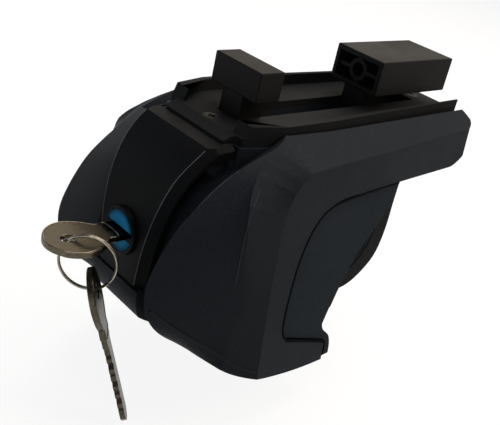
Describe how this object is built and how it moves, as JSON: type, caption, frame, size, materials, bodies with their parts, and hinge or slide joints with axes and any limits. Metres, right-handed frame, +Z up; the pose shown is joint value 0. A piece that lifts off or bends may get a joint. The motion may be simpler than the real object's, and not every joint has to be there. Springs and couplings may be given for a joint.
{
  "type": "roof bar foot",
  "caption": "Moulded roof bar foot that clamps a roof rail between a soft pad and a bolt-drawn claw, with a lockable hinged cover and sliding blocks for the bar's channel.",
  "frame": {"origin": "middle of the flat seat that the bar lies on, in the middle plane of the foot", "axes": "+X inboard along the bar from the lock to the arm's tip, +Y across the foot along the rail, +Z up"},
  "size_m": [0.1879, 0.092, 0.1299],
  "materials": {
    "black_moulding": "fine matt grain",
    "cover_plastic": "satin",
    "seat_rubber": "matt",
    "pad_rubber": "matt",
    "claw_metal": "black powder coat",
    "block_plastic": "matt",
    "lock_rim": "satin black",
    "lock_blue": "glossy blue",
    "key_nickel": "nickel plate",
    "ring_steel": "bright wire",
    "zinc_steel": "zinc plate",
    "spring_steel": "drawn wire"
  },
  "bodies": {
    "foot": {"housing": "black_moulding", "bar_seat": "seat_rubber", "seat_screw_outer": "zinc_steel", "seat_screw_inner": "zinc_steel", "cover_pin": "zinc_steel", "rail_pad": "pad_rubber", "clamp_washer": "zinc_steel", "return_spring": "spring_steel"},
    "cover": {"front_cover": "cover_plastic", "lock_sleeve": "lock_rim", "lock_nut": "zinc_steel"},
    "lock": {"lock_plug": "lock_blue", "lock_cam": "zinc_steel", "cam_screw": "zinc_steel"},
    "key": {"key": "key_nickel"},
    "ring": {"key_ring": "ring_steel"},
    "spare": {"spare_key": "key_nickel"},
    "claw": {"clamp_claw": "claw_metal", "claw_pad": "pad_rubber", "claw_nut": "zinc_steel"},
    "bolt": {"clamp_bolt": "zinc_steel", "bolt_retainer": "zinc_steel"},
    "front_block": {"front_t_block": "block_plastic", "front_stud": "zinc_steel", "front_washer": "zinc_steel", "front_nut": "zinc_steel"},
    "rear_block": {"rear_t_block": "block_plastic", "rear_foot": "zinc_steel", "rear_screw": "zinc_steel"}
  },
  "joints": [
    {"name": "cover_hinge", "type": "hinge", "parent": "foot", "child": "cover", "pos_m": [-0.0695, 0, -0.00655], "axis": [0, 1, 0], "range_deg": [0, 70]},
    {"name": "lock_turn", "type": "hinge", "parent": "cover", "child": "lock", "pos_m": [-0.088, 0, -0.0403], "axis": [1, 0, 0], "range_deg": [0, 70]},
    {"name": "key_slide", "type": "slide", "parent": "lock", "child": "key", "axis": [-1, 0, 0], "range_m": [0, 0.028]},
    {"name": "ring_swing", "type": "hinge", "parent": "key", "child": "ring", "pos_m": [-0.1105, 0, -0.0403], "axis": [-0.7314, -0.682, 0], "range_deg": [0, 15]},
    {"name": "spare_key_swing", "type": "hinge", "parent": "ring", "child": "spare", "pos_m": [-0.1031, -0.00794, -0.05625], "axis": [-0.7314, -0.682, 0], "range_deg": [-15, 15]},
    {"name": "claw_slide", "type": "slide", "parent": "foot", "child": "claw", "axis": [1, 0, 0], "range_m": [-0.008, 0.01], "deforming": ["return_spring"]},
    {"name": "bolt_turn", "type": "hinge", "parent": "foot", "child": "bolt", "pos_m": [-0.0608, 0, -0.0158], "axis": [1, 0, 0], "range_deg": [-3610, 2890]},
    {"name": "front_block_slide", "type": "slide", "parent": "foot", "child": "front_block", "axis": [1, 0, 0], "range_m": [0, 0.012]},
    {"name": "rear_block_slide", "type": "slide", "parent": "foot", "child": "rear_block", "axis": [1, 0, 0], "range_m": [-0.03, 0]}
  ],
  "couplings": [
    {"joint": "bolt_turn", "follows": "claw_slide", "rad_per_m": -6283.2}
  ]
}
